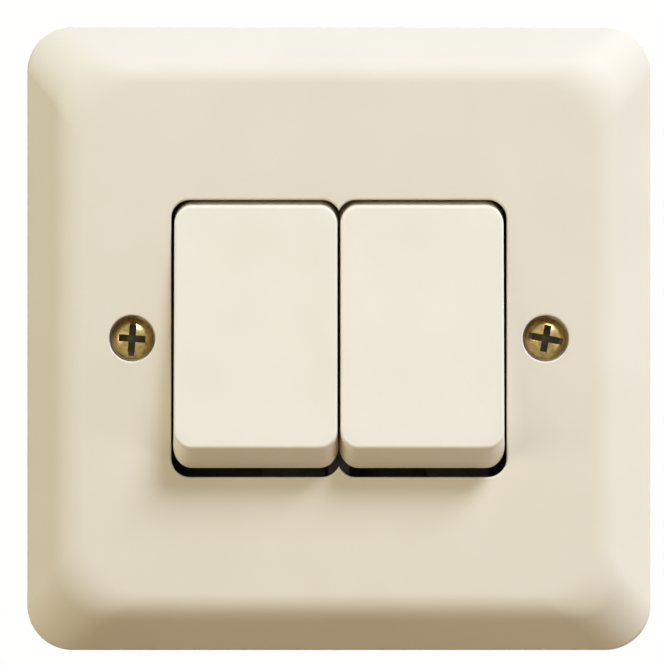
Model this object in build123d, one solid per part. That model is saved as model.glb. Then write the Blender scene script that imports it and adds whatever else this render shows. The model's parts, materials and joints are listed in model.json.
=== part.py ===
from build123d import *
import math
import os

# Double rocker light switch for a flush box with fixing screws 60 mm apart.
# Millimetres. X points right, Y into the wall and Z up. The wall is the plane Y = 0,
# and the origin is the middle of the plate's back edge, so the plate's front is at -Y.

# Front plate
plate_size = 91.0
plate_corner = 6.6
plate_depth = 8.5
plate_wall = 2.5
rim_height = 2.3
bevel_angle = 46.0
bevel_blend = 6.0
bevel_corner_blend = 9.2
least_lean = 20.0
opening_corner = 2.7
rib_thickness = 1.2
rib_height = 3.4
rib_x = 20.0
collar_height = 2.4
collar_gap = 0.15

# Rockers
rocker_width = 23.6
rocker_gap = 0.5
rocker_length = 35.1
rocker_proud = 2.76
rocker_skirt = 5.76
rocker_draft = 22.0
rocker_corner = 2.6
rocker_edge = 0.9
rocker_wall = 1.8
rocker_face = 2.0
rocker_tilt = 8.0
pivot_behind_face = 9.5
rocker_side_gap = 0.5
sweep_gap = 0.35
cheek_thickness = 2.0
cheek_inset = 1.6
cheek_front_width = 18.0
cheek_end = 3.0
cheek_tip_width = 3.0
trunnion_radius = 1.6
trunnion_length = 1.45
bearing_clearance = 0.05
bearing_side_gap = 0.3
bearing_front = 3.2

# Plungers and their springs
post_half = 3.1
plunger_half = 2.0
plunger_clearance = 0.06
plunger_tail = 1.5
nose_radius = 1.5
nose_length = 2.0
nose_beyond_post = 3.0
spring_room = 6.5
spring_radius = 1.5
spring_wire = 0.5
spring_turns = 3
spring_sides = 8
spring_seat_gap = 0.05

# See-saw contacts
seesaw_ratio = 1.075
seesaw_vee = 12.0
seesaw_thickness = 1.0
seesaw_width = 6.4
seesaw_half_length = 11.5
seesaw_above_floor = 3.82
plunger_play = 0.18
ear_half = 0.4
ear_length = 1.4
ear_play = 0.1
fork_side_gap = 0.3
fork_arm = 1.0
fork_half_width = 2.2
fork_nose = 1.2
tip_distance = 9.8
tip_half = 1.5
tip_base = 0.4
tip_crown = 0.4
closed_gap = 0.08
fixed_tip_half = 1.7
fixed_tip_height = 0.8
stop_half = 1.2
stop_gap = 0.3

# Terminals
strip_thickness = 1.0
terminal_offset = 5.5
terminal_width = 6.6
terminal_length = 7.0
terminal_height = 7.0
terminal_end_gap = 0.5
wire_radius = 1.8
wire_above_floor = 4.0
tongue_half_width = 2.1
tongue_root = 5.2
tongue_overlap = 1.75
link_width = 4.0
link_overlap = 1.4
clamp_radius = 1.5
clamp_clearance = 0.05
clamp_lift = 0.1
clamp_proud = 1.2
clamp_slot = 0.6
clamp_slot_depth = 0.9

# Switch base
base_side_gap = 0.5
base_end_gap = 0.58
base_side_wall = 1.6
base_end_wall = 1.8
base_floor = 2.0
base_depth = 15.0
base_corner = 2.0
pocket_rib = 1.2
pocket_gap = 0.1
cover_gap = 0.2
cover_thickness = 1.2
well_half = 2.5
window_width = 5.0
window_height = 5.0
rest_length = 1.8
lug_beyond_wall = 3.0
lug_end_radius = 3.2
lug_thickness = 2.4
lug_before_wall = 2.0

# Screws. The fixing screws stand beside the base, which puts them 60 mm apart.
head_radius = 3.0
head_height = 2.2
head_rim = 0.9
head_recess = 2.4
head_side_gap = 0.35
thread_radius = 1.5
plain_radius = 1.3
shank_gap = 0.4
fixing_reach = 18.9
thread_start = 0.3
fixing_boss_radius = 3.7
fixing_boss_gap = 0.35
fixing_slot = 0.85
fixing_slot_depth = 0.9
cross_width = 1.0
cross_length = 3.9
cross_depth = 1.4
left_slot_angle = 86.0
right_slot_angle = -10.5
base_screw_radius = 1.3
base_screw_clearance = 0.05
base_screw_length = 5.6
base_screw_bottom_gap = 0.4
base_head_radius = 2.5
base_head_height = 1.9
base_slot = 0.8
base_slot_depth = 0.9
lug_hole_clearance = 0.3
base_boss_radius = 3.2

# Places worked out from the sizes above
plate_front = -plate_depth
plate_inside = plate_front + plate_wall
plate_middle = plate_front + plate_wall / 2
pivot_y = plate_front + pivot_behind_face
rocker_front = -(pivot_behind_face + rocker_proud)
skirt_end = rocker_front + rocker_skirt
skirt_half = rocker_length / 2 + rocker_skirt * math.tan(math.radians(rocker_draft))
skirt_sweep = math.hypot(skirt_end, skirt_half)
lip_behind_pivot = pivot_behind_face - plate_wall
opening_half = math.sqrt((skirt_sweep + sweep_gap) ** 2 - lip_behind_pivot ** 2)
opening_width = rocker_width + 2 * rocker_side_gap
gang_x = (rocker_width + rocker_gap) / 2
cheek_outside = rocker_width / 2 - cheek_inset
trunnion_tip = cheek_outside + trunnion_length
bearing_face = cheek_outside + bearing_side_gap
web_half = gang_x - bearing_face
base_inside_x = gang_x + rocker_width / 2 + base_side_gap
base_outside_x = base_inside_x + base_side_wall
fixing_x = base_outside_x + fixing_boss_gap + fixing_boss_radius
base_inside_z = skirt_sweep + base_end_gap
base_outside_z = base_inside_z + base_end_wall
base_rear = base_depth + base_floor
bearing_front_y = pivot_y - bearing_front
seesaw_tilt = rocker_tilt * seesaw_ratio
seesaw_y = base_depth - seesaw_above_floor
nose_reach = seesaw_y - pivot_y - plunger_play - seesaw_thickness / 2 - nose_radius
plunger_shoulder = nose_reach - nose_length
post_reach = nose_reach - nose_beyond_post
terminal_outer = base_inside_z - terminal_end_gap
terminal_inner = terminal_outer - terminal_length
terminal_middle = (terminal_inner + terminal_outer) / 2
terminal_front = base_depth - terminal_height
wire_y = base_depth - wire_above_floor
lug_z = base_outside_z + lug_beyond_wall
lug_front_y = -lug_before_wall
lug_rear_y = lug_front_y + lug_thickness
seat_y = plate_front + head_recess

# The moving tip closes on the fixed tip when its wing leans forward by this angle.
closed_lean = math.radians(seesaw_vee - seesaw_tilt)
crown_radius = (tip_half ** 2 + tip_crown ** 2) / (2 * tip_crown)
crown_centre = seesaw_thickness / 2 + tip_base + tip_crown - crown_radius
tip_y = seesaw_y - tip_distance * math.sin(closed_lean) + crown_centre * math.cos(closed_lean)
tip_z = tip_distance * math.cos(closed_lean) + crown_centre * math.sin(closed_lean)
fixed_front = tip_y + crown_radius + closed_gap
tongue_front = fixed_front + fixed_tip_height
tongue_rear = tongue_front + strip_thickness
stop_inner = tip_distance - stop_half
stop_outer = tip_distance + stop_half
stop_front = (seesaw_y - stop_inner * math.tan(closed_lean)
              + seesaw_thickness / 2 / math.cos(closed_lean) + stop_gap)


def block(x0, x1, y0, y1, z0, z1):
    """A box between two corners."""
    middle = Pos((x0 + x1) / 2, (y0 + y1) / 2, (z0 + z1) / 2)
    return middle * Box(abs(x1 - x0), abs(y1 - y0), abs(z1 - z0))


def rod_x(radius, x0, x1, y, z):
    return Pos((x0 + x1) / 2, y, z) * Rot(0, 90, 0) * Cylinder(radius, abs(x1 - x0))


def rod_y(radius, x, y0, y1, z):
    return Pos(x, (y0 + y1) / 2, z) * Rot(90, 0, 0) * Cylinder(radius, abs(y1 - y0))


def rod_z(radius, x, y, z0, z1):
    return Pos(x, y, (z0 + z1) / 2) * Cylinder(radius, abs(z1 - z0))


def half_turn(shape):
    """The same piece turned half round about Y."""
    return Rot(0, 180, 0) * shape


def leaning(edge):
    """True for an edge that runs towards the wall, upright or at a slant."""
    along_y = abs((edge % 0.5).Y)
    return along_y > math.sin(math.radians(least_lean))


def bevelled_body(size, rim, height, corner_blend):
    """A square block with four sloped sides that are this size at the rim's height, and soft corners."""
    slope = math.tan(math.radians(bevel_angle))
    foot = size / 2 + rim / slope
    top = size / 2 - (height - rim) / slope
    outline = Polyline((0, -foot), (0, foot), (-height, top), (-height, -top), close=True)
    bar = extrude(Plane.YZ * make_face(outline), foot, both=True)
    body = bar & (Rot(0, 90, 0) * bar)
    return fillet(body.edges().filter_by(leaning), corner_blend)


def upright_prism(size, corner, height):
    """A square prism from the wall forwards, with round upright corners."""
    return extrude(Plane.XZ * RectangleRounded(size, size, corner), height)


def plate_ribs():
    """Stiffening ribs behind the plate, from its bosses and collar out to the rim."""
    half = rib_thickness / 2
    edge = plate_size / 2 - plate_wall
    rear = plate_inside + rib_height
    ribs = []
    for x in (-fixing_x, fixing_x):
        ribs.append(block(x - half, x + half, plate_middle, rear, -edge, edge))
        ribs.append(block(x, math.copysign(edge, x), plate_middle, rear, -half, half))
    for x in (-rib_x, 0, rib_x):
        for side in (-1, 1):
            ribs.append(block(x - half, x + half, plate_middle, rear, side * base_outside_z, side * edge))
    return ribs


def base_room(rear, margin):
    """The room for the base behind the plate, as far as this rear, with a margin around it."""
    half_x = base_outside_x + collar_gap + margin
    half_z = base_outside_z + collar_gap + margin
    return block(-half_x, half_x, plate_inside, rear, -half_z, half_z)


def front_plate():
    wall_slope = math.radians(bevel_angle)
    rim_step = plate_wall * (1 - math.sin(wall_slope)) / math.cos(wall_slope)
    outside = bevelled_body(plate_size, rim_height, plate_depth, bevel_corner_blend)
    outside = fillet(outside.faces().sort_by(Axis.Y)[0].edges(), bevel_blend)
    outside = outside & upright_prism(plate_size, plate_corner, plate_depth)
    inside_size = plate_size - 2 * plate_wall
    inside_depth = plate_depth - plate_wall
    inside = bevelled_body(inside_size, rim_height - rim_step, inside_depth,
                           bevel_corner_blend - plate_wall)
    inside = inside & upright_prism(inside_size, plate_corner - plate_wall, inside_depth)
    plate = outside - inside
    additions = plate_ribs() + [base_room(plate_inside + collar_height, rib_thickness)]
    for z in (-lug_z, lug_z):
        additions.append(rod_y(base_boss_radius, 0, plate_middle, lug_front_y, z))
    plate = plate + [piece & outside for piece in additions]
    plate = plate - base_room(base_rear, 0)
    for x in (-fixing_x, fixing_x):
        plate = plate + rod_y(fixing_boss_radius, x, plate_middle, 0, 0)
        plate = plate - rod_y(head_radius + head_side_gap, x, plate_front, seat_y, 0)
        plate = plate - rod_y(plain_radius + shank_gap, x, plate_front, 0, 0)
    hole_radius = base_screw_radius + base_screw_clearance
    hole_bottom = lug_rear_y - base_screw_length - base_screw_bottom_gap
    for z in (-lug_z, lug_z):
        plate = plate - rod_y(hole_radius, 0, hole_bottom, lug_front_y, z)
    lobe = RectangleRounded(opening_width, 2 * opening_half, opening_corner)
    for x in (-gang_x, gang_x):
        plate = plate - extrude(Plane.XZ * Pos(x, 0) * lobe, plate_depth)
    return plate


def rocker_cap():
    """The hollow cap: drafted ends, round corners and a rolled front edge."""
    front_half = rocker_length / 2
    side_view = make_face(Polyline((rocker_front, -front_half), (rocker_front, front_half),
                                   (skirt_end, skirt_half), (skirt_end, -skirt_half), close=True))
    cap = extrude(Plane.YZ * side_view, rocker_width / 2, both=True)
    cap = fillet(cap.edges().filter_by(leaning), rocker_corner)
    rolled_side = fillet(side_view.vertices().group_by(Axis.X)[0], rocker_edge)
    plan = Pos(0, (rocker_front + skirt_end) / 2) * Rectangle(rocker_width, rocker_skirt)
    rolled_plan = fillet(plan.vertices().group_by(Axis.Y)[0], rocker_edge)
    cap = cap & extrude(Plane.YZ * rolled_side, rocker_width / 2, both=True)
    cap = cap & extrude(Plane.XY * rolled_plan, skirt_half, both=True)

    face_inside = rocker_front + rocker_face
    lean = math.radians(rocker_draft)
    inset = rocker_wall / math.cos(lean)
    room_front = front_half + rocker_face * math.tan(lean) - inset
    room_end = skirt_half - inset
    room = make_face(Polyline((face_inside, -room_front), (face_inside, room_front),
                              (skirt_end, room_end), (skirt_end, -room_end), close=True))
    return cap - extrude(Plane.YZ * room, rocker_width / 2 - rocker_wall, both=True)


def rocker():
    """One rocker about its pivot, level: cap, cheeks with trunnions, and the plunger's post."""
    root = rocker_front + rocker_face / 2
    half = cheek_front_width / 2
    cheek = make_face(Polyline((root, -half), (root, half), (0, cheek_end), (cheek_end, cheek_tip_width / 2),
                               (cheek_end, -cheek_tip_width / 2), (0, -cheek_end), close=True))
    additions = []
    for side in (-1, 1):
        inner = side * (cheek_outside - cheek_thickness)
        outer = side * cheek_outside
        additions.append(extrude(Plane.YZ.offset(inner) * cheek, outer - inner))
        additions.append(rod_x(trunnion_radius, inner, side * trunnion_tip, 0, 0))
    additions.append(block(-post_half, post_half, root, post_reach, -post_half, post_half))
    bore_half = plunger_half + plunger_clearance
    bore_bottom = -plunger_tail - spring_room
    bore = block(-bore_half, bore_half, bore_bottom, post_reach, -bore_half, bore_half)
    return rocker_cap() + additions - bore


def plunger():
    """The square plunger about the rocker's pivot, with a nose that is round across X."""
    body = block(-plunger_half, plunger_half, -plunger_tail, plunger_shoulder, -plunger_half, plunger_half)
    nose = block(-plunger_half, plunger_half, 0, nose_reach, -nose_radius, nose_radius)
    return body + nose + rod_x(nose_radius, -plunger_half, plunger_half, nose_reach, 0)


def plunger_spring():
    """A compression spring between the bottom of the post's bore and the plunger's tail."""
    margin = spring_wire / 2 + spring_seat_gap
    start = -plunger_tail - spring_room + margin
    length = spring_room - 2 * margin
    steps = spring_turns * spring_sides
    sections = []
    for step in range(steps + 1):
        height = Pos(0, start + length * step / steps, 0)
        turn = Rot(0, 360 * step / spring_sides, 0)
        sections.append(height * turn * Pos(spring_radius, 0, 0) * Rectangle(spring_wire, spring_wire))
    return loft(sections, ruled=True)


def wing_frame(side):
    """The frame of a see-saw's wing: it leans forward, the upper wing with side 1."""
    return Rot(side * seesaw_vee, 0, 0)


def see_saw():
    """The see-saw contact about its own axis, level: a bent strip with two ears."""
    half = seesaw_width / 2
    depth = seesaw_thickness / 2
    strip = rod_x(depth, -half, half, 0, 0)
    for side in (-1, 1):
        strip = strip + wing_frame(side) * block(-half, half, -depth, depth, 0, side * seesaw_half_length)
    reach = half + ear_length
    return strip + block(-reach, reach, -ear_half, ear_half, -ear_half, ear_half)


def moving_tip():
    """A silver pad about the strip's middle plane, crowned across X towards the wall."""
    depth = seesaw_thickness / 2
    pad = block(-tip_half, tip_half, depth, depth + tip_base + tip_crown, -tip_half, tip_half)
    return pad & rod_x(crown_radius, -tip_half, tip_half, crown_centre, 0)


def fixed_tip():
    """A flat silver pad on the outgoing terminal's tongue."""
    return block(-fixed_tip_half, fixed_tip_half, fixed_front, tongue_front,
                 -tip_z - fixed_tip_half, -tip_z + fixed_tip_half)


def clamp_hole(x):
    """The hole of a terminal's clamp screw, from the wire hole to the rear."""
    return rod_y(clamp_radius + clamp_clearance, x, wire_y, base_depth, terminal_middle)


def terminal_block():
    """A brass terminal with its wire hole along Z and its clamp screw's hole from the rear."""
    half = terminal_width / 2
    body = block(-half, half, terminal_front, base_depth, terminal_inner, terminal_outer)
    return body - rod_z(wire_radius, 0, wire_y, terminal_inner, terminal_outer) - clamp_hole(0)


def outgoing_terminal():
    """The outgoing terminal: a block at the lower right with a tongue behind the see-saw's tip."""
    inner_x = terminal_offset - tongue_root / 2
    outer_x = terminal_offset + tongue_root / 2
    root_z = -terminal_inner - tongue_overlap
    tongue_end = tongue_half_width - tip_z
    bend = -tongue_half_width - tip_z
    outline = Polyline((outer_x, root_z), (inner_x, root_z), (inner_x, -terminal_inner),
                       (-tongue_half_width, bend), (-tongue_half_width, tongue_end),
                       (tongue_half_width, tongue_end), (outer_x, tongue_half_width - terminal_inner),
                       close=True)
    tongue = extrude(Plane.XZ.offset(-tongue_rear) * make_face(outline), strip_thickness)
    body = half_turn(Pos(-terminal_offset, 0, 0) * terminal_block())
    wire_hole = rod_z(wire_radius, terminal_offset, wire_y, -terminal_outer, -terminal_inner)
    return body + (tongue - wire_hole - half_turn(clamp_hole(-terminal_offset)))


def common_terminal():
    """The common terminal: a block at the right, a strip on the floor and the see-saw's fork."""
    arm_inside = seesaw_width / 2 + fork_side_gap
    arm_outside = arm_inside + fork_arm
    strip_front = base_depth - strip_thickness
    arm_front = seesaw_y - fork_nose
    root_z = terminal_inner + link_overlap
    fork = block(-arm_outside, arm_outside, strip_front, base_depth, -fork_half_width, fork_half_width)
    for side in (-1, 1):
        fork = fork + block(side * arm_inside, side * arm_outside, arm_front, base_depth,
                            -fork_half_width, fork_half_width)
    notch = ear_half + ear_play
    fork = fork - block(-arm_outside, arm_outside, arm_front, seesaw_y + notch, -notch, notch)
    link = block(arm_inside, arm_outside + link_width, strip_front, base_depth, -fork_half_width, root_z)
    return Pos(terminal_offset, 0, 0) * terminal_block() + fork + (link - clamp_hole(terminal_offset))


def terminal_places():
    """The (x, z) middles of a gang's common and outgoing terminals."""
    return [(terminal_offset, terminal_middle), (terminal_offset, -terminal_middle)]


def clamp_screw():
    """A slotted headless terminal screw along Y, raised just clear of the wire hole."""
    tip = wire_y + wire_radius + clamp_lift
    crest = base_depth + clamp_proud
    slot = block(-clamp_radius, clamp_radius, crest - clamp_slot_depth, crest,
                 -clamp_slot / 2, clamp_slot / 2)
    return rod_y(clamp_radius, 0, tip, crest, 0) - slot


def gang_fittings():
    """What one gang adds to the base: covered terminal pockets, a tongue rest, a stop, and cuts."""
    additions = []
    cuts = []
    cover_rear = terminal_front - cover_gap
    cover_front = cover_rear - cover_thickness
    inner = terminal_width / 2 + pocket_gap
    outer = inner + pocket_rib
    for x, z in terminal_places():
        side = math.copysign(1, z)
        for edge in (-1, 1):
            x0 = x + edge * inner
            additions.append(block(x0, x0 + edge * pocket_rib, cover_front, base_rear,
                                   side * terminal_inner, side * base_outside_z))
        additions.append(block(x - outer, x + outer, cover_front, cover_rear,
                               side * terminal_inner, side * base_outside_z))
        cuts.append(block(x - well_half, x + well_half, base_depth, base_rear, z - well_half, z + well_half))
        cuts.append(block(x - window_width / 2, x + window_width / 2,
                          wire_y - window_height / 2, wire_y + window_height / 2,
                          side * base_inside_z, side * base_outside_z))
    rest_end = pocket_gap - terminal_inner
    additions.append(block(-tongue_half_width, terminal_offset, tongue_rear, base_rear,
                           rest_end, rest_end + rest_length))
    additions.append(block(-tongue_half_width, tongue_half_width, stop_front, base_rear,
                           stop_inner, stop_outer))
    return additions, cuts


def switch_base():
    outside = block(-base_outside_x, base_outside_x, plate_inside, base_rear,
                    -base_outside_z, base_outside_z)
    outside = fillet(outside.edges().filter_by(Axis.Y), base_corner)
    base = outside - block(-base_inside_x, base_inside_x, plate_inside, base_depth,
                           -base_inside_z, base_inside_z)
    additions = [block(-web_half, web_half, bearing_front_y, base_rear,
                       -base_outside_z, base_outside_z)]
    bearing_half = cheek_end + cheek_thickness
    bearing_x = gang_x + bearing_face
    for side in (-1, 1):
        additions.append(block(side * bearing_x, side * base_outside_x, bearing_front_y, base_rear,
                               -bearing_half, bearing_half))
    cuts = []
    for x in (-gang_x, gang_x):
        fittings, openings = gang_fittings()
        additions += [Pos(x, 0, 0) * piece for piece in fittings]
        cuts += [Pos(x, 0, 0) * piece for piece in openings]
    base = base + [piece & outside for piece in additions]
    for side in (-1, 1):
        z = side * lug_z
        base = base + block(-lug_end_radius, lug_end_radius, lug_front_y, lug_rear_y,
                            side * (base_inside_z + base_end_wall / 2), z)
        base = base + rod_y(lug_end_radius, 0, lug_front_y, lug_rear_y, z)
        cuts.append(rod_y(base_screw_radius + lug_hole_clearance, 0, lug_front_y, lug_rear_y, z))
    bore_radius = trunnion_radius + bearing_clearance
    bore_end = gang_x + trunnion_tip + bearing_side_gap
    cuts.append(rod_x(bore_radius, -web_half, web_half, pivot_y, 0))
    for side in (-1, 1):
        cuts.append(rod_x(bore_radius, side * bearing_x, side * bore_end, pivot_y, 0))
    return base - cuts


def fixing_screw(slot_angle):
    """A brass screw with a domed head, its seat at Y = 0 and its thread towards the wall."""
    top = -head_height
    dome_height = head_height - head_rim
    dome_radius = (head_radius ** 2 + dome_height ** 2) / (2 * dome_height)
    head = rod_y(head_radius, 0, top, 0, 0) & (Pos(0, top + dome_radius, 0) * Sphere(dome_radius))
    slot = block(-head_radius, head_radius, top, top + fixing_slot_depth, -fixing_slot / 2, fixing_slot / 2)
    along = block(-cross_length / 2, cross_length / 2, top, top + cross_depth,
                  -cross_width / 2, cross_width / 2)
    cross = along + Rot(0, 90, 0) * along
    head = head - Rot(0, -slot_angle, 0) * (slot + cross)
    thread_y = thread_start - seat_y
    plain = rod_y(plain_radius, 0, -head_rim / 2, thread_y, 0)
    return head + plain + rod_y(thread_radius, 0, thread_y, fixing_reach - seat_y, 0)


def base_screw():
    """A tapping screw with a slotted round head, its seat at Y = 0 and its tip towards the plate."""
    head = rod_y(base_head_radius, 0, 0, base_head_height, 0)
    head = head - block(-base_head_radius, base_head_radius, base_head_height - base_slot_depth,
                        base_head_height, -base_slot / 2, base_slot / 2)
    return head + rod_y(base_screw_radius, 0, -base_screw_length, 0, 0)


def save(name, *solids):
    shape = solids[0] if len(solids) == 1 else Compound(children=list(solids))
    export_step(shape, f"parts/{name}.step")


def save_gang(name, x):
    """One switch mechanism with its rocker pressed in at the top."""
    pivot = Pos(x, pivot_y, 0) * Rot(-rocker_tilt, 0, 0)
    axis = Pos(x, seesaw_y, 0) * Rot(seesaw_tilt, 0, 0)
    middle = Pos(x, 0, 0)
    save(f"{name}_rocker", pivot * rocker())
    save(f"{name}_plunger", pivot * plunger())
    save(f"{name}_plunger_spring", pivot * plunger_spring())
    save(f"{name}_see_saw_contact", axis * see_saw())
    save(f"{name}_moving_tip", axis * wing_frame(-1) * Pos(0, 0, -tip_distance) * moving_tip())
    save(f"{name}_common_terminal", middle * common_terminal())
    save(f"{name}_outgoing_terminal", middle * outgoing_terminal())
    save(f"{name}_fixed_tip", middle * fixed_tip())
    screws = [Pos(x + place_x, 0, z) * clamp_screw() for place_x, z in terminal_places()]
    save(f"{name}_clamp_screws", *screws)


os.makedirs("parts", exist_ok=True)
save("front_plate", front_plate())
save("switch_base", switch_base())
save_gang("left", -gang_x)
save_gang("right", gang_x)
save("left_fixing_screw", Pos(-fixing_x, seat_y, 0) * fixing_screw(left_slot_angle))
save("right_fixing_screw", Pos(fixing_x, seat_y, 0) * fixing_screw(right_slot_angle))
save("base_screws", *[Pos(0, lug_rear_y, z) * base_screw() for z in (-lug_z, lug_z)])
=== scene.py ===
import bmesh
import bpy
import json
import math
from mathutils import Matrix, Vector

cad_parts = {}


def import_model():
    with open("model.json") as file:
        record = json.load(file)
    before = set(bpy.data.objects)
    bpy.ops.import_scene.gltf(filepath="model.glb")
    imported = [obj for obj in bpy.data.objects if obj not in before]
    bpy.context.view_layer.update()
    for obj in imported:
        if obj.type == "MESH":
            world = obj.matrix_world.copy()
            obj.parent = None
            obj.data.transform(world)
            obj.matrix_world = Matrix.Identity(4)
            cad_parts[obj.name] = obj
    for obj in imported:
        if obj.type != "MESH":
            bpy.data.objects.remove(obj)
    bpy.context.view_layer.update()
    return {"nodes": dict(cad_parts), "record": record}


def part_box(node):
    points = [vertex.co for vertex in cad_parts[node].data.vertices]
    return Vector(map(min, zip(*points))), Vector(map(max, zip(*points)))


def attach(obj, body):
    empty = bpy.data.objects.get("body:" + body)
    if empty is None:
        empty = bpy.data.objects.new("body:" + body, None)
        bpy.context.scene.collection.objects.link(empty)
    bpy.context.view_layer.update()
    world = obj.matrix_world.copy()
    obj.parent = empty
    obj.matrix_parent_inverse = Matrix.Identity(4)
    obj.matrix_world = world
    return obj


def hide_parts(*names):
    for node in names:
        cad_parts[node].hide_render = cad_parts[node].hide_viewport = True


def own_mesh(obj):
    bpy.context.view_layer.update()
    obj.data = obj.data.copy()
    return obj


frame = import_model()

# The looks of a double light switch, around its solids.
# Sizes are in millimetres and turn into metres where a piece is finished.
# X points right, Y into the wall and Z up, and the wall is the plane Y = 0.
MM = 0.001

# Front plate
plate_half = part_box("front_plate")[1].x / MM
plate_depth = -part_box("front_plate")[0].y / MM
plate_wall = 2.5
plate_corner = 6.6
face_corner = 8.8
rim_height = 2.3
rim_round = 0.9
bevel_angle = math.radians(46.0)
face_round = 6.0
inner_round = 2.0
opening_half_height = 20.12
opening_corner = 2.7
opening_round = 0.3
recess_round = 0.25
flare_angle = math.radians(80.0)
rib_thickness = 1.2
rib_height = 3.4
rib_x = 20.0
collar_height = 2.4
collar_gap = 0.15
base_half_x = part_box("switch_base")[1].x / MM
base_half_z = 23.29
lug_z = 26.29
lug_front_y = -2.0
lug_boss_radius = 3.2
lug_hole = 1.35
lug_hole_bottom = -5.6

# Rockers, about their pivot
gang_x = 12.05
pivot_y = 1.0
rocker_tilt = math.radians(8.0)
rocker_half_width = 11.8
rocker_half_length = 17.7
rocker_front = -12.26
rocker_skirt = 5.76
rocker_draft = math.radians(20.7)
rocker_side_draft = math.radians(1.5)
rocker_corner = 2.6
rocker_edge = 0.6
rocker_side_edge = 0.35
rocker_wall = 1.8
rocker_face = 2.0
rocker_side_gap = 0.5
dish_depth = 0.25
dish_power = 6
cheek_outside = 10.2
cheek_thickness = 2.0
cheek_front_half = 9.0
cheek_end = 3.0
cheek_tip_half = 1.5
trunnion_radius = 1.6
trunnion_tip = 11.65
post_half = 3.1
post_reach = 5.0
bore_half = 2.06
bore_bottom = -8.0

# Fixing screws, from their seat
fixing_x = 30.0
seat_y = -6.1
head_radius = 3.0
head_height = 2.2
head_rim = 0.9
head_foot_round = 0.25
head_edge_round = 0.35
head_side_gap = 0.35
dome_height = head_height - head_rim
dome_radius = (head_radius ** 2 + dome_height ** 2) / (2 * dome_height)
slot_width = 0.85
slot_depth = 0.9
cross_width = 1.0
cross_length = 3.9
cross_depth = 1.4
# How far below the dome a slot or cross face must lie to get the painted shade
painted_shade_depth = 0.02
left_slot_angle = math.radians(86.0)
right_slot_angle = math.radians(-10.5)
plain_radius = 1.3
shank_hole = 1.7
boss_radius = 3.7
thread_radius = 1.5
thread_depth = 0.3
thread_pitch = 0.5
thread_start = 6.4
thread_end = 25.0
thread_sink = 0.05

# The dome's drawn part, as shares of its steepest angle
dome_foot = 0.85
dome_sweep = 0.84

# The thread's ridge, as shares of the pitch
ridge_foot = 0.48
ridge_crest = 0.08
ridge_start = 0.5
ridge_end = 1.5

# Plunger springs
spring_radius = 1.5
wire_radius = 0.25
spring_turns = 5
spring_start = -7.7
spring_length = 5.9
spring_ease = 0.6

# How finely curves are divided
corner_steps = 20
round_steps = 48
arc_steps = 10
thread_steps = 20
spring_steps = 24
wire_sides = 10

# Shading
sharp_angle = math.radians(35.0)
normal_weight = 100
noise_detail = 3.0
noise_low = 0.3
noise_high = 0.7
grain_strength = 0.25

# Floor and surroundings
floor_half = 900.0
floor_thickness = 10.0
floor_z = -120.0
floor_rough = 0.9
floor_mottle = 3.0
floor_dark = (0.87, 0.835, 0.74)
floor_light = (0.89, 0.855, 0.76)
floor_bounce = (0.135, 0.062, 0.01)
backdrop_colour = (1.0, 1.0, 0.985)
fill_colour = (0.06, 0.05, 0.035)

# The fill's strength from below and from above, and the heights between which it fades
fill_below = 1.0
fill_above = 0.1
fade_start = 0.0
fade_end = 0.8

# Soft lamps: the way to each one, its distance, width and height in metres, its power and its colour
lamps = {
    "key": ((0.38, -0.48, 0.79), 1.5, 0.8, 0.45, 24.2, (0.785, 0.86, 1.0)),
    "left_fill": ((-0.88, -0.46, 0.03), 1.0, 1.0, 0.3, 4.35, (1.0, 1.0, 0.83)),
    "right_fill": ((0.9, -0.26, -0.2), 0.45, 0.4, 0.06, 0.7, (0.98, 1.0, 0.92)),
    "front_fill": ((-0.4, -0.9, 0.1), 1.2, 1.0, 0.3, 2.1, (1.0, 0.92, 0.56)),
    "back_fill": ((0.35, 0.8, 0.5), 1.2, 1.0, 0.8, 13.0, (1.0, 0.97, 0.92)),
}

# Camera, placed in metres
camera_place = (-0.00093, -0.9085, 0.00087)
camera_lens = 336.0
camera_sensor = 36.0


def rounded_path(points):
    """A line through (u, v, radius) points, with its corners rounded to those radii."""
    path = []
    for index, (u, v, radius) in enumerate(points):
        corner = Vector((u, v))
        if radius == 0:
            path.append(corner)
            continue
        before = (Vector(points[index - 1][:2]) - corner).normalized()
        after = (Vector(points[index + 1][:2]) - corner).normalized()
        half_angle = before.angle(after) / 2
        middle = corner + (before + after).normalized() * radius / math.sin(half_angle)
        start = corner + before * radius / math.tan(half_angle) - middle
        end = corner + after * radius / math.tan(half_angle) - middle
        turn = start.angle_signed(end)
        for step in range(arc_steps + 1):
            path.append(middle + Matrix.Rotation(-turn * step / arc_steps, 2) @ start)
    return path


def rounded_rectangle(half_x, half_z, radius):
    """(x, z, angle) round a rectangle with round corners, where angle is the way its edge faces."""
    outline = []
    for quarter in range(4):
        sign_x = 1 if quarter in (0, 3) else -1
        sign_z = 1 if quarter in (0, 1) else -1
        for step in range(corner_steps + 1):
            angle = (quarter + step / corner_steps) * math.pi / 2
            outline.append((sign_x * (half_x - radius) + radius * math.cos(angle),
                            sign_z * (half_z - radius) + radius * math.sin(angle), angle))
    return outline


def loft(rings):
    """A closed solid through rings that all have the same number of points."""
    solid = bmesh.new()
    rows = [[solid.verts.new(point) for point in ring] for ring in rings]
    for row, following in zip(rows, rows[1:]):
        for index in range(len(row)):
            solid.faces.new((row[index - 1], row[index], following[index], following[index - 1]))
    solid.faces.new(rows[0])
    solid.faces.new(rows[-1])
    bmesh.ops.recalc_face_normals(solid, faces=solid.faces)
    return solid


def lathe(profile):
    """A solid turned about Y from (radius, y) points that start and end off the axis."""
    turns = [math.tau * step / round_steps for step in range(round_steps)]
    rings = []
    for radius, y in profile:
        rings.append([(radius * math.cos(turn), y, radius * math.sin(turn)) for turn in turns])
    return loft(rings)


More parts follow.
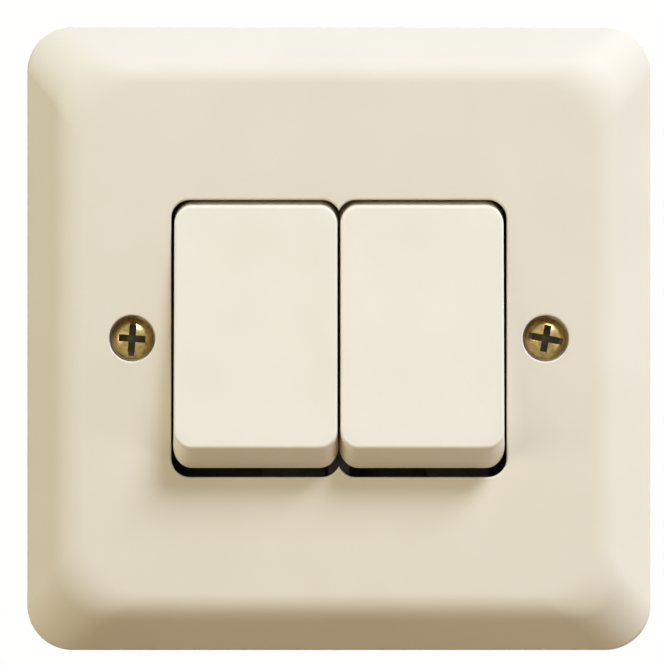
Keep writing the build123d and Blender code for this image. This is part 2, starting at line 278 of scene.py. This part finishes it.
def block(x0, x1, y0, y1, z0, z1):
    """A box between two corners."""
    solid = bmesh.new()
    place = Matrix.Translation(((x0 + x1) / 2, (y0 + y1) / 2, (z0 + z1) / 2))
    size = Matrix.Diagonal((abs(x1 - x0), abs(y1 - y0), abs(z1 - z0), 1))
    bmesh.ops.create_cube(solid, size=1, matrix=place @ size)
    return solid


def prism_x(points, x0, x1):
    """A solid of one (y, z) outline from x0 to x1."""
    return loft([[(x, y, z) for y, z in points] for x in (x0, x1)])


def rod_y(radius, x, y0, y1, z):
    """A round rod along Y."""
    solid = lathe([(radius, y0), (radius, y1)])
    bmesh.ops.translate(solid, verts=solid.verts, vec=(x, 0, z))
    return solid


def rod_x(radius, x0, x1, y, z):
    """A round rod along X."""
    solid = lathe([(radius, x0), (radius, x1)])
    turn = Matrix.Rotation(math.radians(-90), 4, "Z")
    bmesh.ops.transform(solid, verts=solid.verts, matrix=Matrix.Translation((0, y, z)) @ turn)
    return solid


def joined(solids):
    """Several solids as the shells of one mesh."""
    whole = bmesh.new()
    for solid in solids:
        mesh = bpy.data.meshes.new("shell")
        solid.to_mesh(mesh)
        solid.free()
        whole.from_mesh(mesh)
        bpy.data.meshes.remove(mesh)
    return whole


def make_object(name, solid):
    """A solid as an object of the scene."""
    mesh = bpy.data.meshes.new(name)
    solid.to_mesh(mesh)
    solid.free()
    piece = bpy.data.objects.new(name, mesh)
    bpy.context.scene.collection.objects.link(piece)
    return piece


def settle(piece):
    """Applies a piece's modifiers to its mesh."""
    evaluated = piece.evaluated_get(bpy.context.evaluated_depsgraph_get())
    mesh = bpy.data.meshes.new_from_object(evaluated)
    piece.modifiers.clear()
    old = piece.data
    piece.data = mesh
    bpy.data.meshes.remove(old)
    mesh.name = piece.name


def combine(piece, solid, operation):
    """Adds a solid to a piece with UNION, or takes it away with DIFFERENCE."""
    tool = make_object("tool", solid)
    step = piece.modifiers.new("combine", "BOOLEAN")
    step.object = tool
    step.operation = operation
    step.solver = "EXACT"
    settle(piece)
    mesh = tool.data
    bpy.data.objects.remove(tool)
    bpy.data.meshes.remove(mesh)


def finish_piece(piece, body, material, nodes, place=Matrix.Identity(4)):
    """Scales a piece to metres, shades it and puts it on its body in place of plainer solids."""
    mesh = piece.data
    mesh.transform(Matrix.Scale(MM, 4) @ place)
    mesh.materials.clear()
    mesh.materials.append(material)
    mesh.shade_smooth()
    mesh.set_sharp_from_angle(angle=sharp_angle)
    normals = piece.modifiers.new("normals", "WEIGHTED_NORMAL")
    normals.keep_sharp = True
    normals.weight = normal_weight
    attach(piece, body)
    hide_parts(*nodes)


# Materials

def new_material(name):
    """A material, with its node tree and its shader."""
    material = bpy.data.materials.new(name)
    material.use_nodes = True
    tree = material.node_tree
    return material, tree, tree.nodes["Principled BSDF"]


def wander(tree, scale, low, high):
    """A value that wanders between low and high over the surface, scale times in a metre."""
    place = tree.nodes.new("ShaderNodeTexCoord")
    noise = tree.nodes.new("ShaderNodeTexNoise")
    noise.inputs["Scale"].default_value = scale
    noise.inputs["Detail"].default_value = noise_detail
    tree.links.new(place.outputs["Object"], noise.inputs["Vector"])
    spread = tree.nodes.new("ShaderNodeMapRange")
    spread.inputs["From Min"].default_value = noise_low
    spread.inputs["From Max"].default_value = noise_high
    spread.inputs["To Min"].default_value = low
    spread.inputs["To Max"].default_value = high
    tree.links.new(noise.outputs[0], spread.inputs["Value"])
    return spread.outputs["Result"]


def mottle(tree, shader, scale, dark, light):
    """Lets the base colour wander between two colours."""
    mix = tree.nodes.new("ShaderNodeMix")
    mix.data_type = "RGBA"
    mix.inputs["A"].default_value = (*dark, 1)
    mix.inputs["B"].default_value = (*light, 1)
    tree.links.new(wander(tree, scale, 0, 1), mix.inputs["Factor"])
    tree.links.new(mix.outputs["Result"], shader.inputs["Base Color"])


def grain(tree, shader, scale, depth):
    """A fine bump of this depth in millimetres."""
    bump = tree.nodes.new("ShaderNodeBump")
    bump.inputs["Strength"].default_value = grain_strength
    bump.inputs["Distance"].default_value = depth * MM
    tree.links.new(wander(tree, scale, 0, 1), bump.inputs["Height"])
    tree.links.new(bump.outputs["Normal"], shader.inputs["Normal"])


def surface(name, dark, light, mottle_scale, rough, rough_scale, grain_scale, grain_depth,
            metal=0.0, gloss=0.5):
    """A finish with mottled colour, uneven gloss and a fine grain."""
    material, tree, shader = new_material(name)
    shader.inputs["Metallic"].default_value = metal
    shader.inputs["Specular IOR Level"].default_value = gloss
    mottle(tree, shader, mottle_scale, dark, light)
    tree.links.new(wander(tree, rough_scale, *rough), shader.inputs["Roughness"])
    grain(tree, shader, grain_scale, grain_depth)
    return material


plate_ivory = surface(
    "plate_ivory", dark=(0.86, 0.79, 0.67), light=(0.89, 0.82, 0.705), mottle_scale=70,
    rough=(0.44, 0.52), rough_scale=400, grain_scale=3000, grain_depth=0.01, gloss=0.12)
rocker_ivory = surface(
    "rocker_ivory", dark=(0.89, 0.825, 0.715), light=(0.92, 0.855, 0.745), mottle_scale=90,
    rough=(0.42, 0.5), rough_scale=400, grain_scale=3000, grain_depth=0.01, gloss=0.2)
base_black = surface(
    "base_black", dark=(0.012, 0.011, 0.01), light=(0.028, 0.027, 0.026), mottle_scale=250,
    rough=(0.38, 0.55), rough_scale=500, grain_scale=2500, grain_depth=0.02)
plunger_nylon = surface(
    "plunger_nylon", dark=(0.7, 0.69, 0.64), light=(0.78, 0.77, 0.72), mottle_scale=300,
    rough=(0.4, 0.5), rough_scale=600, grain_scale=2500, grain_depth=0.01)
spring_steel = surface(
    "spring_steel", dark=(0.4, 0.4, 0.41), light=(0.56, 0.56, 0.57), mottle_scale=900,
    rough=(0.25, 0.4), rough_scale=900, grain_scale=6000, grain_depth=0.005, metal=1.0)
contact_brass = surface(
    "contact_brass", dark=(0.6, 0.42, 0.16), light=(0.76, 0.57, 0.25), mottle_scale=500,
    rough=(0.25, 0.42), rough_scale=700, grain_scale=5000, grain_depth=0.008, metal=1.0)
tip_silver = surface(
    "tip_silver", dark=(0.7, 0.69, 0.66), light=(0.85, 0.84, 0.81), mottle_scale=700,
    rough=(0.2, 0.35), rough_scale=900, grain_scale=6000, grain_depth=0.005, metal=1.0)
screw_steel = surface(
    "screw_steel", dark=(0.5, 0.49, 0.46), light=(0.66, 0.65, 0.62), mottle_scale=600,
    rough=(0.25, 0.4), rough_scale=900, grain_scale=6000, grain_depth=0.006, metal=1.0)
# Painted shade: a near-black brown on the screw heads' slot and cross faces, standing in for the shade
# in those recesses
slot_painted_shade = surface(
    "slot_painted_shade", dark=(0.02, 0.013, 0.004), light=(0.06, 0.042, 0.014), mottle_scale=1800,
    rough=(0.5, 0.7), rough_scale=1500, grain_scale=7000, grain_depth=0.01, metal=0.4)
screw_brass = surface(
    "screw_brass", dark=(0.26, 0.18, 0.065), light=(0.46, 0.34, 0.14), mottle_scale=1400,
    rough=(0.24, 0.42), rough_scale=1500, grain_scale=7000, grain_depth=0.01, metal=1.0)


# Front plate

def plate_rings(half, corner, inner_corner, profile):
    """Rings of a bevelled square from (inset, height) points, where the corners grow wider inwards."""
    widest = profile[-1][0]
    rings = []
    for inset, height in profile:
        radius = corner + (inner_corner - corner) * inset / widest
        outline = rounded_rectangle(half - inset, half - inset, radius)
        rings.append([(x, -height, z) for x, z, angle in outline])
    return rings


def bevel_profile(foot, rim, depth, low_round, high_round):
    """The section of a bevelled side, from its foot to the flat face, as (inset, height) points."""
    top = (depth - rim) / math.tan(bevel_angle)
    inside = top + 2 * high_round
    corners = [(0, foot, 0), (0, rim, low_round), (top, depth, high_round), (inside, depth, 0)]
    return rounded_path(corners)[:-1]


def flared(outline_at, front, rear, edge):
    """A cutter from before the front to the rear, whose mouth flares with a rounded edge."""
    rings = []
    for step in range(arc_steps):
        turn = flare_angle * (1 - step / (arc_steps - 1))
        y = front + edge * (1 - math.sin(turn))
        offset = edge * (1 - math.cos(turn))
        if step == 0:
            rings.append([(x, y - edge, z) for x, z in outline_at(offset + edge * math.tan(turn))])
        rings.append([(x, y, z) for x, z in outline_at(offset)])
    rings.append([(x, rear, z) for x, z in outline_at(0)])
    return loft(rings)


def opening_outline(offset):
    """The opening for both rockers: two lobes with round corners that overlap, grown by an offset."""
    radius = opening_corner + offset
    lobe_half = rocker_half_width + rocker_side_gap
    outer_x = gang_x + lobe_half - opening_corner
    inner_x = gang_x - lobe_half + opening_corner
    corner_z = opening_half_height - opening_corner
    cusp = math.acos(-inner_x / radius)
    quarter = []
    for centre_x, start, end in ((outer_x, 0, math.pi / 2), (inner_x, math.pi / 2, cusp)):
        for step in range(corner_steps + 1):
            angle = start + (end - start) * step / corner_steps
            quarter.append((centre_x + radius * math.cos(angle), corner_z + radius * math.sin(angle)))
    upper = quarter + [(-x, z) for x, z in reversed(quarter[:-1])]
    return upper + [(-x, -z) for x, z in upper]


def recess_outline(x, radius):
    """The outline of a round recess as a function of how far it is grown."""
    turns = [math.tau * step / round_steps for step in range(round_steps)]

    def outline_at(offset):
        grown = radius + offset
        return [(x + grown * math.cos(turn), grown * math.sin(turn)) for turn in turns]
    return outline_at


def rib(x, inner_z, outer_z):
    """A stiffening rib along Z that ends inside the bevelled sides where it reaches them."""
    middle_y = plate_wall / 2 - plate_depth
    rear_y = plate_wall - plate_depth + rib_height
    cover = plate_wall / 2 / math.sin(bevel_angle)

    def reach(y, z):
        """Brings z to where the bevelled side is at this depth, if it lies further out."""
        limit = plate_half - cover - (-y - rim_height) / math.tan(bevel_angle)
        return max(-limit, min(limit, z))
    outline = [(middle_y, reach(middle_y, inner_z)), (middle_y, reach(middle_y, outer_z)),
               (rear_y, reach(rear_y, outer_z)), (rear_y, reach(rear_y, inner_z))]
    return prism_x(outline, x - rib_thickness / 2, x + rib_thickness / 2)


def base_room(rear, margin):
    """The room for the base behind the plate, with a margin around it."""
    half_x = base_half_x + collar_gap + margin
    half_z = base_half_z + collar_gap + margin
    return block(-half_x, half_x, plate_wall - plate_depth, rear, -half_z, half_z)


def plate_moulding():
    """The front plate as one moulding, with its ribs, bosses and collar behind."""
    inside_y = plate_wall - plate_depth
    middle_y = inside_y - plate_wall / 2
    outside = bevel_profile(0, rim_height, plate_depth, rim_round, face_round)
    plate = make_object("plate_moulding",
                        loft(plate_rings(plate_half, plate_corner, face_corner, outside)))
    rim_step = plate_wall * (1 - math.sin(bevel_angle)) / math.cos(bevel_angle)
    inside = bevel_profile(-plate_wall, rim_height - rim_step, plate_depth - plate_wall,
                           inner_round, inner_round)
    combine(plate, loft(plate_rings(plate_half - plate_wall, plate_corner - plate_wall,
                                    face_corner - plate_wall, inside)), "DIFFERENCE")
    additions = [base_room(inside_y + collar_height, rib_thickness)]
    for x in (-fixing_x, fixing_x):
        additions.append(rib(x, -plate_half, plate_half))
        across = rib(0, fixing_x, plate_half)
        turn = Matrix.Rotation(math.copysign(math.pi / 2, x), 4, "Y")
        bmesh.ops.transform(across, verts=across.verts, matrix=turn)
        additions.append(across)
    for x in (-rib_x, 0, rib_x):
        additions.append(rib(x, base_half_z, plate_half))
        additions.append(rib(x, -plate_half, -base_half_z))
    for z in (-lug_z, lug_z):
        additions.append(rod_y(lug_boss_radius, 0, middle_y, lug_front_y, z))
    for addition in additions:
        combine(plate, addition, "UNION")
    combine(plate, base_room(plate_wall, 0), "DIFFERENCE")
    for x in (-fixing_x, fixing_x):
        combine(plate, rod_y(boss_radius, x, middle_y, 0, 0), "UNION")
        recess = recess_outline(x, head_radius + head_side_gap)
        combine(plate, flared(recess, -plate_depth, seat_y, recess_round), "DIFFERENCE")
        combine(plate, rod_y(shank_hole, x, -plate_depth, plate_wall, 0), "DIFFERENCE")
    for z in (-lug_z, lug_z):
        combine(plate, rod_y(lug_hole, 0, lug_hole_bottom, lug_front_y + plate_wall, z), "DIFFERENCE")
    combine(plate, flared(opening_outline, -plate_depth, 0, opening_round), "DIFFERENCE")
    finish_piece(plate, "switch_body", plate_ivory, ["front_plate"])


# Rockers

def rocker_cap():
    """The rocker's cap as a closed solid, with drafted sides, rolled edges and a slight dish."""
    outline = rounded_rectangle(rocker_half_width, rocker_half_length, rocker_corner)

    def ring(section):
        """A ring round the cap, with the offset and depth that the section gives at each point."""
        points = []
        for x, z, angle in outline:
            endwise = math.sin(angle) ** 2
            sidewise = math.cos(angle) ** 2
            draft = rocker_draft * endwise + rocker_side_draft * sidewise
            edge = rocker_edge * endwise + rocker_side_edge * sidewise
            offset, depth = section(draft, edge)
            points.append((x + offset * math.cos(angle), rocker_front + depth,
                           z + offset * math.sin(angle)))
        return points

    def skirt(draft, edge):
        """The end of the skirt."""
        return rocker_skirt * math.tan(draft), rocker_skirt

    def roll(share):
        """A share of the way round the rolled edge, from the side to the face."""
        def section(draft, edge):
            turn = draft + (math.pi / 2 - draft) * share
            inset = edge * (1 - math.sin(draft)) / math.cos(draft)
            return edge * math.cos(turn) - inset, edge * (1 - math.sin(turn))
        return section
    rings = [ring(skirt)] + [ring(roll(step / arc_steps)) for step in range(arc_steps + 1)]
    brim = rings[-1]
    end = max(z for x, y, z in brim)
    for step in range(1, arc_steps + 1):
        share = 1 - step / (arc_steps + 1)
        dished = []
        for x, y, z in brim:
            dip = dish_depth * (1 - (z * share / end) ** 2) * (1 - share ** dish_power)
            dished.append((x * share, y + dip, z * share))
        rings.append(dished)
    return loft(rings)


def rocker(name):
    """One rocker about its pivot: cap, cheeks with trunnions, and the plunger's post."""
    piece = make_object(name + "_rocker_moulding", rocker_cap())
    skirt_end = rocker_front + rocker_skirt
    room_front = rocker_front + rocker_face
    inset = rocker_wall / math.cos(rocker_draft)
    front_half = rocker_half_length + rocker_face * math.tan(rocker_draft) - inset
    end_half = rocker_half_length + (rocker_skirt + rocker_wall) * math.tan(rocker_draft) - inset
    rear = skirt_end + rocker_wall
    room = [(room_front, -front_half), (room_front, front_half), (rear, end_half), (rear, -end_half)]
    room_half = rocker_half_width - rocker_wall
    combine(piece, prism_x(room, -room_half, room_half), "DIFFERENCE")
    root = rocker_front + rocker_face / 2
    cheek = [(root, -cheek_front_half), (root, cheek_front_half), (0, cheek_end),
             (cheek_end, cheek_tip_half), (cheek_end, -cheek_tip_half), (0, -cheek_end)]
    for side in (-1, 1):
        inner = side * (cheek_outside - cheek_thickness)
        combine(piece, prism_x(cheek, inner, side * cheek_outside), "UNION")
        combine(piece, rod_x(trunnion_radius, inner, side * trunnion_tip, 0, 0), "UNION")
    combine(piece, block(-post_half, post_half, root, post_reach, -post_half, post_half), "UNION")
    combine(piece, block(-bore_half, bore_half, bore_bottom, 2 * post_reach, -bore_half, bore_half),
            "DIFFERENCE")
    return piece


def rocker_place(x):
    """Where a rocker and what rides in it stand at rest, pressed in at the top."""
    return Matrix.Translation((x, pivot_y, 0)) @ Matrix.Rotation(-rocker_tilt, 4, "X")


# Fixing screws and springs

def screw_head(name, slot_angle):
    """A domed head on its seat at y = 0, with a slot and a cross cut into it."""
    steepest = math.asin(head_radius / dome_radius)
    dome = []
    for step in range(arc_steps + 1):
        turn = steepest * (dome_foot - dome_sweep * step / arc_steps)
        dome.append((dome_radius * math.sin(turn), dome_radius * (1 - math.cos(turn)) - head_height, 0))
    rim = [(plain_radius, 0, 0), (head_radius, 0, head_foot_round),
           (head_radius, -head_rim, head_edge_round)]
    head = make_object(name, lathe(rounded_path(rim + dome)))
    slot = block(-head_radius, head_radius, -2 * head_height, slot_depth - head_height,
                 -slot_width / 2, slot_width / 2)
    along = block(-cross_length / 2, cross_length / 2, -2 * head_height, cross_depth - head_height,
                  -cross_width / 2, cross_width / 2)
    across = along.copy()
    bmesh.ops.rotate(across, verts=across.verts, matrix=Matrix.Rotation(math.pi / 2, 3, "Y"))
    for cut in (slot, along, across):
        bmesh.ops.rotate(cut, verts=cut.verts, matrix=Matrix.Rotation(-slot_angle, 3, "Y"))
        combine(head, cut, "DIFFERENCE")
    return head


def in_recess(point):
    """True for a point of the head's slot or cross, below its dome, which gets the painted shade."""
    across = math.hypot(point.x, point.z)
    if across > head_radius - head_edge_round or point.y > 0:
        return False
    dome_y = dome_radius - math.sqrt(dome_radius ** 2 - across ** 2) - head_height
    return point.y > dome_y + painted_shade_depth


def thread_ridge():
    """A screw thread's ridge, which runs out at both ends."""
    root = thread_radius - thread_depth - thread_sink
    turns = (thread_end - thread_start) / thread_pitch - ridge_start - ridge_end
    steps = round(turns * thread_steps)
    rings = []
    for step in range(steps + 1):
        angle = math.tau * step / thread_steps
        y = thread_start + thread_pitch * (ridge_start + step / thread_steps)
        grown = min(1, step / thread_steps, (steps - step) / thread_steps)
        crest = root + (thread_radius - root) * grown
        section = ((root, -ridge_foot), (crest, -ridge_crest), (crest, ridge_crest), (root, ridge_foot))
        rings.append([(radius * math.cos(angle), y + share * thread_pitch, radius * math.sin(angle))
                      for radius, share in section])
    return loft(rings)


def fixing_screw(name, x, slot_angle):
    """A brass screw: its head, a plain neck and a threaded end."""
    head = screw_head(name + "_brass_screw", slot_angle)
    core = thread_radius - thread_depth
    chamfer = thread_pitch
    shank = lathe([(plain_radius, -head_rim / 2), (plain_radius, thread_start),
                   (core, thread_start + thread_pitch), (core, thread_end - chamfer),
                   (core - chamfer, thread_end)])
    whole = joined([shank, thread_ridge()])
    whole.from_mesh(head.data)
    whole.to_mesh(head.data)
    whole.free()
    # The slot and cross faces take the painted shade instead of brass
    recess = [face.index for face in head.data.polygons if in_recess(face.center)]
    finish_piece(head, "switch_body", screw_brass, [name + "_fixing_screw"],
                 Matrix.Translation((x, seat_y, 0)))
    head.data.materials.append(slot_painted_shade)
    for index in recess:
        head.data.polygons[index].material_index = 1


def plunger_spring(name, x):
    """A round-wire spring in the post, which rides with its rocker unit."""
    steps = spring_turns * spring_steps
    rings = []
    for step in range(steps + 1):
        turn = math.tau * step / spring_steps
        along = step / steps
        y = spring_start + spring_length * (along - spring_ease * math.sin(math.tau * along) / math.tau)
        ring = []
        for side in range(wire_sides):
            round_wire = math.tau * side / wire_sides
            radius = spring_radius + wire_radius * math.cos(round_wire)
            ring.append((radius * math.cos(turn), y + wire_radius * math.sin(round_wire),
                         -radius * math.sin(turn)))
        rings.append(ring)
    spring = make_object(name + "_wire_spring", loft(rings))
    place = rocker_place(x)
    finish_piece(spring, name + "_rocker_unit", spring_steel,
                 [name + "_plunger_spring"], place)
    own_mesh(spring)


# Stage

def shown_ray(tree):
    """1 for the rays that show a background: the camera's own, and those in gloss and glass."""
    path = tree.nodes.new("ShaderNodeLightPath")
    shown = path.outputs["Is Camera Ray"]
    for ray in ("Is Glossy Ray", "Is Transmission Ray"):
        either = tree.nodes.new("ShaderNodeMath")
        either.operation = "MAXIMUM"
        tree.links.new(shown, either.inputs[0])
        tree.links.new(path.outputs[ray], either.inputs[1])
        shown = either.outputs["Value"]
    return shown


def mix_shaders(tree, factor, first, second, output):
    """Shows the first shader where the factor is 0, and the second where it is 1."""
    mix = tree.nodes.new("ShaderNodeMixShader")
    tree.links.new(factor, mix.inputs["Fac"])
    tree.links.new(first, mix.inputs[1])
    tree.links.new(second, mix.inputs[2])
    tree.links.new(mix.outputs["Shader"], output.inputs["Surface"])


def floor():
    """A plain pale floor that bounces a warm light."""
    plane = make_object("floor", block(-floor_half, floor_half, -floor_half, floor_half,
                                       floor_z - floor_thickness, floor_z))
    plane.data.transform(Matrix.Scale(MM, 4))
    material, tree, shader = new_material("floor_white")
    shader.inputs["Roughness"].default_value = floor_rough
    mottle(tree, shader, floor_mottle, floor_dark, floor_light)
    bounce = tree.nodes.new("ShaderNodeBsdfDiffuse")
    bounce.inputs["Color"].default_value = (*floor_bounce, 1)
    mix_shaders(tree, shown_ray(tree), bounce.outputs["BSDF"], shader.outputs["BSDF"],
                tree.nodes["Material Output"])
    plane.data.materials.append(material)


def world():
    """White to the eye, and a warm fill that is weaker from above."""
    scenery = bpy.data.worlds.new("world")
    bpy.context.scene.world = scenery
    scenery.use_nodes = True
    tree = scenery.node_tree
    tree.nodes.clear()
    direction = tree.nodes.new("ShaderNodeTexCoord")
    parts = tree.nodes.new("ShaderNodeSeparateXYZ")
    tree.links.new(direction.outputs["Generated"], parts.inputs["Vector"])
    height = tree.nodes.new("ShaderNodeMapRange")
    height.inputs["From Min"].default_value = fade_start
    height.inputs["From Max"].default_value = fade_end
    height.inputs["To Min"].default_value = fill_below
    height.inputs["To Max"].default_value = fill_above
    tree.links.new(parts.outputs["Z"], height.inputs["Value"])
    fill = tree.nodes.new("ShaderNodeBackground")
    fill.inputs["Color"].default_value = (*fill_colour, 1)
    tree.links.new(height.outputs["Result"], fill.inputs["Strength"])
    white = tree.nodes.new("ShaderNodeBackground")
    white.inputs["Color"].default_value = (*backdrop_colour, 1)
    mix_shaders(tree, shown_ray(tree), fill.outputs["Background"], white.outputs["Background"],
                tree.nodes.new("ShaderNodeOutputWorld"))


def area_light(name, direction, distance, width, height, energy, colour):
    """A soft lamp that faces the object from a direction."""
    light = bpy.data.lights.new(name, "AREA")
    light.shape = "ELLIPSE"
    light.size = width
    light.size_y = height
    light.energy = energy
    light.color = colour
    lamp = bpy.data.objects.new(name, light)
    towards = Vector(direction).normalized()
    lamp.location = towards * distance
    lamp.rotation_euler = towards.to_track_quat("Z", "Y").to_euler()
    lamp.visible_camera = False
    bpy.context.scene.collection.objects.link(lamp)


def camera():
    """The camera, straight in front of the plate."""
    data = bpy.data.cameras.new("camera")
    data.lens = camera_lens
    data.sensor_width = camera_sensor
    view = bpy.data.objects.new("camera", data)
    view.location = camera_place
    view.rotation_euler = (math.radians(90), 0, 0)
    bpy.context.scene.collection.objects.link(view)
    bpy.context.scene.camera = view


# The finish that each slot gets
finishes = {
    "plate_ivory": plate_ivory, "rocker_ivory": rocker_ivory, "base_black": base_black,
    "plunger_nylon": plunger_nylon, "spring_steel": spring_steel, "contact_brass": contact_brass,
    "tip_silver": tip_silver, "screw_steel": screw_steel, "screw_brass": screw_brass,
}
for part in frame["record"]["subparts"]:
    materials = frame["nodes"][part["node"]].data.materials
    materials.clear()
    materials.append(finishes[part["material_slot"]])

plate_moulding()
for name, x in (("left", -gang_x), ("right", gang_x)):
    finish_piece(rocker(name), name + "_rocker_unit", rocker_ivory,
                 [name + "_rocker"], rocker_place(x))
    plunger_spring(name, x)
fixing_screw("left", -fixing_x, left_slot_angle)
fixing_screw("right", fixing_x, right_slot_angle)

bpy.context.scene.view_settings.view_transform = "Standard"
floor()
world()
for name, lamp in lamps.items():
    area_light(name, *lamp)
camera()
